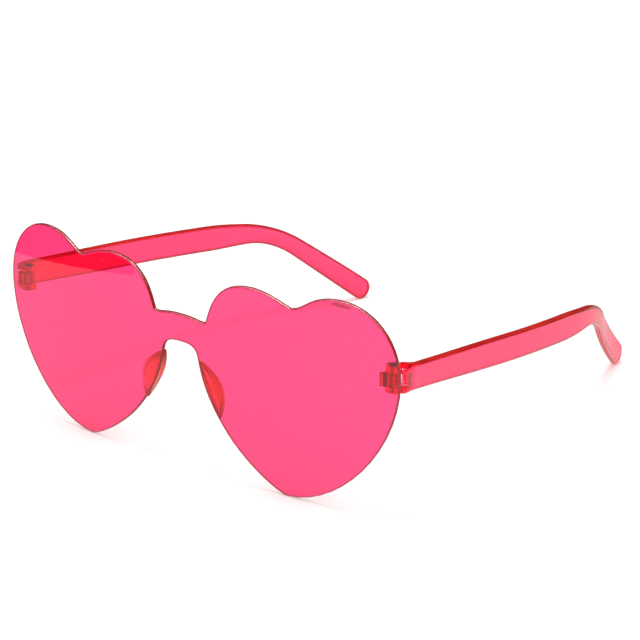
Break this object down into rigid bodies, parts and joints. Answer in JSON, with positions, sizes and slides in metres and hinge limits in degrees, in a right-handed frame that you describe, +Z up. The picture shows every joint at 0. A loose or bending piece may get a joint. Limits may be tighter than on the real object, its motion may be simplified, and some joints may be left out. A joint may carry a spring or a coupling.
{
  "type": "heart shaped sunglasses",
  "caption": "Rimless heart shaped sunglasses: a one-piece tinted lens plate with nose pads and folding temples on screw hinges.",
  "frame": {"origin": "on the table under the middle of the outline, with the glasses standing on the two heart tips and the two temple tips", "axes": "+Z up, -Y the way the wearer looks, +X towards the wearer's left; the YZ plane is the mirror plane"},
  "size_m": [0.142, 0.159, 0.0604],
  "materials": {
    "tinted_lens": "clear see-through pink, polished",
    "tinted_trim": "clear see-through pink, polished",
    "tinted_temple": "clear see-through pink, polished",
    "screw_steel": "bright turned steel"
  },
  "bodies": {
    "front": {"lens_shield": "tinted_lens", "left_nose_pad": "tinted_trim", "right_nose_pad": "tinted_trim", "left_hinge_lug": "tinted_trim", "right_hinge_lug": "tinted_trim"},
    "left_arm": {"left_temple": "tinted_temple", "left_hinge_screw": "screw_steel"},
    "right_arm": {"right_temple": "tinted_temple", "right_hinge_screw": "screw_steel"}
  },
  "joints": [
    {"name": "left_fold", "type": "hinge", "parent": "front", "child": "left_arm", "pos_m": [0.06655, -0.0697, 0.0403], "axis": [0, 0, 1], "range_deg": [0, 85]},
    {"name": "right_fold", "type": "hinge", "parent": "front", "child": "right_arm", "pos_m": [-0.06655, -0.0697, 0.0403], "axis": [0, 0, -1], "range_deg": [0, 74]}
  ]
}
